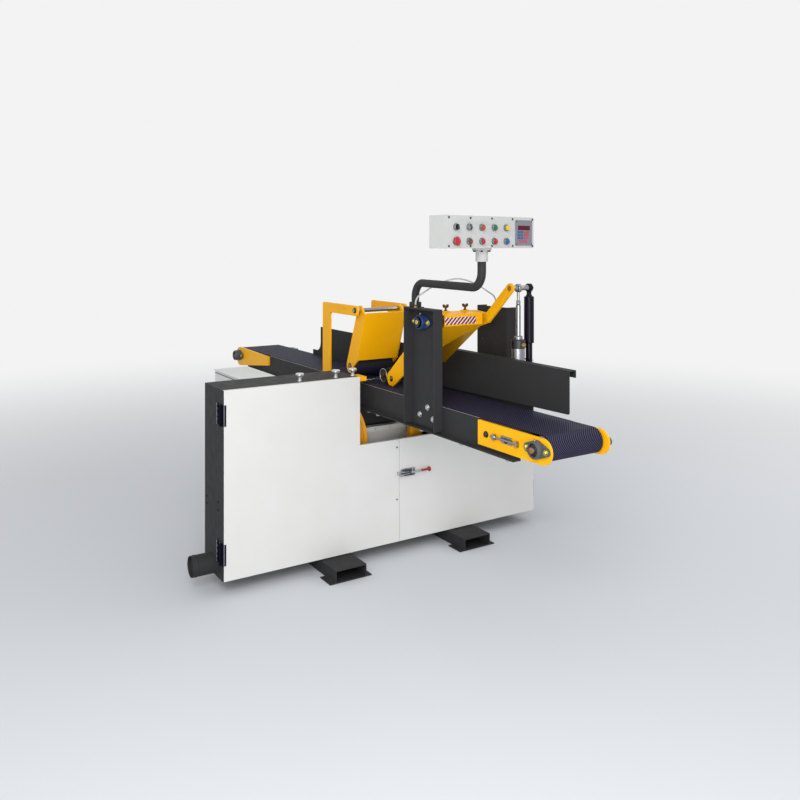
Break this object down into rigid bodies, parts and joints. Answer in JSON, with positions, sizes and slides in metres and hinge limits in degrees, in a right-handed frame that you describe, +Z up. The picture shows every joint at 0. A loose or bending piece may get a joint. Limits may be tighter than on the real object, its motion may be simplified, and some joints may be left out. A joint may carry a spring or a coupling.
{
  "type": "horizontal band resaw",
  "caption": "Horizontal band resaw: a lifting belt conveyor runs through a low twin-tower band saw cabinet, with roller hold-downs, side fences and a swinging control box.",
  "frame": {"origin": "middle of the machine's bounding box, on the floor", "axes": "+Y is the feed direction, from infeed to outfeed; +X runs along the saw cabinet away from the dust outlet; +Z is up"},
  "size_m": [2.1364, 3.4178, 1.84],
  "materials": {
    "charcoal_paint": "satin powder coat",
    "white_paint": "satin powder coat",
    "grey_paint": "satin powder coat",
    "yellow_paint": "gloss paint",
    "motor_paint": "gloss paint",
    "cast_iron": "machined and oiled",
    "bearing_blue": "painted casting",
    "steel": "ground",
    "zinc": "bright zinc",
    "blade_steel": "polished strip",
    "chrome": "hard chrome",
    "aluminium": "clear anodised",
    "blackened_steel": "blackened",
    "belt_rubber": "rough top",
    "roller_rubber": "ground",
    "v_belt": "fabric wrapped",
    "hose": "extruded",
    "black_plastic": "moulded",
    "red_plastic": "moulded",
    "orange_plastic": "moulded",
    "brown_plastic": "moulded",
    "green_plastic": "moulded",
    "yellow_plastic": "moulded",
    "blue_plastic": "moulded"
  },
  "bodies": {
    "base": {"feet": "charcoal_paint", "cabinet_frame": "charcoal_paint", "back_plate": "charcoal_paint", "dust_port": "charcoal_paint", "lift_housing": "grey_paint", "screw_jack": "motor_paint", "electrical_cabinet": "grey_paint", "main_motor": "motor_paint", "drive_belts": "v_belt", "belt_guard": "charcoal_paint", "arbor_housing": "cast_iron", "band_blade": "blade_steel", "guide_arm_right": "yellow_paint", "door_hinges": "blackened_steel"},
    "conveyor": {"conveyor_frame": "charcoal_paint", "conveyor_belt": "belt_rubber", "end_plates": "yellow_paint", "flange_bearings": "bearing_blue", "feed_gearmotor": "motor_paint", "lift_ram": "charcoal_paint", "posts": "charcoal_paint", "fences": "charcoal_paint", "gallows_brackets": "yellow_paint", "frame_bolts": "zinc", "air_hose": "hose"},
    "drive_wheel": {"drive_wheel": "yellow_paint", "drive_shaft": "steel"},
    "right_door": {"right_door": "white_paint", "latch_body": "zinc"},
    "guide_arm_left": {"guide_arm_left": "yellow_paint"},
    "clamp_knob_outer": {"clamp_knob_outer": "zinc"},
    "clamp_knob_middle": {"clamp_knob_middle": "zinc"},
    "clamp_knob_inner": {"clamp_knob_inner": "zinc"},
    "tension_slide": {"tension_slide": "cast_iron"},
    "idler_wheel": {"idler_wheel": "yellow_paint"},
    "motor_pulley": {"motor_pulley": "cast_iron"},
    "left_door": {"left_door": "white_paint"},
    "latch_handle": {"latch_handle": "red_plastic"},
    "infeed_drum": {"infeed_drum": "steel"},
    "outfeed_drum": {"outfeed_drum": "steel"},
    "front_arm": {"front_arm": "yellow_paint"},
    "front_roller": {"front_roller": "steel"},
    "air_cylinder": {"air_cylinder": "aluminium"},
    "cylinder_rod": {"cylinder_rod": "chrome"},
    "damper_tube": {"damper_tube": "blackened_steel"},
    "damper_rod": {"damper_rod": "blackened_steel"},
    "rear_swing": {"rear_swing": "yellow_paint"},
    "rear_roller": {"rear_roller": "roller_rubber"},
    "control_arm": {"control_arm": "charcoal_paint"},
    "control_box": {"control_box": "grey_paint"},
    "selector_switch": {"selector_switch": "black_plastic"},
    "key_switch": {"key_switch": "chrome"},
    "button_orange": {"button_orange": "orange_plastic"},
    "button_green": {"button_green": "green_plastic"},
    "button_yellow": {"button_yellow": "yellow_plastic"},
    "emergency_stop": {"emergency_stop": "red_plastic"},
    "button_brown": {"button_brown": "brown_plastic"},
    "button_red_left": {"button_red_left": "orange_plastic"},
    "button_red_right": {"button_red_right": "red_plastic"},
    "button_blue": {"button_blue": "blue_plastic"}
  },
  "joints": [
    {"name": "conveyor_lift", "type": "slide", "parent": "base", "child": "conveyor", "axis": [0, 0, 1], "range_m": [-0.06, 0.012]},
    {"name": "left_door_swing", "type": "hinge", "parent": "base", "child": "left_door", "pos_m": [-0.95675, -0.286, 0.5], "axis": [0, 0, -1], "range_deg": [0, 110]},
    {"name": "right_door_swing", "type": "hinge", "parent": "base", "child": "right_door", "pos_m": [1.06025, -0.286, 0.5], "axis": [0, 0, 1], "range_deg": [0, 110]},
    {"name": "latch_handle_turn", "type": "hinge", "parent": "right_door", "child": "latch_handle", "pos_m": [0.14175, -0.322, 0.448], "axis": [0, 0, -1], "range_deg": [0, 120]},
    {"name": "clamp_knob_outer_turn", "type": "hinge", "parent": "base", "child": "clamp_knob_outer", "pos_m": [-0.51925, -0.256, 1], "axis": [0, 0, 1], "range_deg": [0, 360]},
    {"name": "clamp_knob_middle_turn", "type": "hinge", "parent": "base", "child": "clamp_knob_middle", "pos_m": [-0.30725, -0.256, 1], "axis": [0, 0, 1], "range_deg": [0, 360]},
    {"name": "clamp_knob_inner_turn", "type": "hinge", "parent": "base", "child": "clamp_knob_inner", "pos_m": [-0.20425, -0.256, 1], "axis": [0, 0, 1], "range_deg": [0, 360]},
    {"name": "guide_arm_slide", "type": "slide", "parent": "base", "child": "guide_arm_left", "axis": [1, 0, 0], "range_m": [-0.03, 0.02]},
    {"name": "blade_tension", "type": "slide", "parent": "base", "child": "tension_slide", "axis": [1, 0, 0], "range_m": [0, 0.03]},
    {"name": "idler_wheel_spin", "type": "hinge", "parent": "tension_slide", "child": "idler_wheel", "pos_m": [-0.43325, -0.201, 0.623], "axis": [0, 1, 0], "continuous": true},
    {"name": "drive_wheel_spin", "type": "hinge", "parent": "base", "child": "drive_wheel", "pos_m": [0.53675, -0.201, 0.623], "axis": [0, 1, 0], "continuous": true},
    {"name": "motor_pulley_spin", "type": "hinge", "parent": "base", "child": "motor_pulley", "pos_m": [0.48375, 0.074, 0.21], "axis": [0, 1, 0], "continuous": true},
    {"name": "outfeed_drum_spin", "type": "hinge", "parent": "conveyor", "child": "outfeed_drum", "pos_m": [0.05175, 1.634, 0.8917], "axis": [1, 0, 0], "continuous": true},
    {"name": "infeed_drum_spin", "type": "hinge", "parent": "conveyor", "child": "infeed_drum", "pos_m": [0.05175, -1.633, 0.8917], "axis": [1, 0, 0], "continuous": true},
    {"name": "front_hold_down", "type": "hinge", "parent": "conveyor", "child": "front_arm", "pos_m": [0.05175, -0.801, 1.338], "axis": [1, 0, 0], "range_deg": [0, 18]},
    {"name": "front_roller_spin", "type": "hinge", "parent": "front_arm", "child": "front_roller", "pos_m": [0.05175, -0.286, 0.997], "axis": [1, 0, 0], "continuous": true},
    {"name": "cylinder_tilt", "type": "hinge", "parent": "conveyor", "child": "air_cylinder", "pos_m": [0.25775, -1.081, 0.9], "axis": [1, 0, 0], "range_deg": [0, 4.93]},
    {"name": "cylinder_stroke", "type": "slide", "parent": "air_cylinder", "child": "cylinder_rod", "axis": [0, 0, 1], "range_m": [-0.0947, 0]},
    {"name": "damper_tilt", "type": "hinge", "parent": "conveyor", "child": "damper_tube", "pos_m": [0.32675, -1.081, 0.9], "axis": [1, 0, 0], "range_deg": [0, 4.93]},
    {"name": "damper_stroke", "type": "slide", "parent": "damper_tube", "child": "damper_rod", "axis": [0, 0, 1], "range_m": [-0.0947, 0]},
    {"name": "rear_hold_down", "type": "hinge", "parent": "conveyor", "child": "rear_swing", "pos_m": [0.05175, -0.121, 1.346], "axis": [1, 0, 0], "range_deg": [0, 45]},
    {"name": "rear_roller_spin", "type": "hinge", "parent": "rear_swing", "child": "rear_roller", "pos_m": [0.05175, -0.006, 1.016], "axis": [1, 0, 0], "continuous": true},
    {"name": "control_arm_swing", "type": "hinge", "parent": "conveyor", "child": "control_arm", "pos_m": [-0.11325, -0.735, 1.45], "axis": [0, 0, 1], "range_deg": [-90, 15]},
    {"name": "control_box_swivel", "type": "hinge", "parent": "control_arm", "child": "control_box", "pos_m": [-0.15225, -1.316, 1.66], "axis": [0, 0, 1], "range_deg": [-60, 60]},
    {"name": "selector_switch_turn", "type": "hinge", "parent": "control_box", "child": "selector_switch", "pos_m": [-0.35822, -1.40435, 1.791], "axis": [0.1702, -0.9854, 0], "range_deg": [-45, 45]},
    {"name": "key_switch_turn", "type": "hinge", "parent": "control_box", "child": "key_switch", "pos_m": [-0.28037, -1.3909, 1.791], "axis": [0.1702, -0.9854, 0], "range_deg": [-45, 45]},
    {"name": "button_orange_press", "type": "slide", "parent": "control_box", "child": "button_orange", "axis": [-0.1702, 0.9854, 0], "range_m": [0, 0.004], "stiffness_N_per_m": 800},
    {"name": "button_green_press", "type": "slide", "parent": "control_box", "child": "button_green", "axis": [-0.1702, 0.9854, 0], "range_m": [0, 0.004], "stiffness_N_per_m": 800},
    {"name": "button_yellow_press", "type": "slide", "parent": "control_box", "child": "button_yellow", "axis": [-0.1702, 0.9854, 0], "range_m": [0, 0.004], "stiffness_N_per_m": 800},
    {"name": "button_brown_press", "type": "slide", "parent": "control_box", "child": "button_brown", "axis": [-0.1702, 0.9854, 0], "range_m": [0, 0.004], "stiffness_N_per_m": 800},
    {"name": "button_red_left_press", "type": "slide", "parent": "control_box", "child": "button_red_left", "axis": [-0.1702, 0.9854, 0], "range_m": [0, 0.004], "stiffness_N_per_m": 800},
    {"name": "button_red_right_press", "type": "slide", "parent": "control_box", "child": "button_red_right", "axis": [-0.1702, 0.9854, 0], "range_m": [0, 0.004], "stiffness_N_per_m": 800},
    {"name": "button_blue_press", "type": "slide", "parent": "control_box", "child": "button_blue", "axis": [-0.1702, 0.9854, 0], "range_m": [0, 0.004], "stiffness_N_per_m": 800},
    {"name": "emergency_stop_press", "type": "slide", "parent": "control_box", "child": "emergency_stop", "axis": [-0.1702, 0.9854, 0], "range_m": [0, 0.004]}
  ],
  "couplings": [
    {"joint": "idler_wheel_spin", "follows": "drive_wheel_spin", "ratio": 1},
    {"joint": "motor_pulley_spin", "follows": "drive_wheel_spin", "ratio": 1.7857},
    {"joint": "infeed_drum_spin", "follows": "outfeed_drum_spin", "ratio": 1},
    {"joint": "cylinder_tilt", "follows": "front_hold_down", "ratio": 0.246},
    {"joint": "cylinder_stroke", "follows": "front_hold_down", "m_per_rad": -0.295},
    {"joint": "damper_tilt", "follows": "front_hold_down", "ratio": 0.246},
    {"joint": "damper_stroke", "follows": "front_hold_down", "m_per_rad": -0.295}
  ]
}
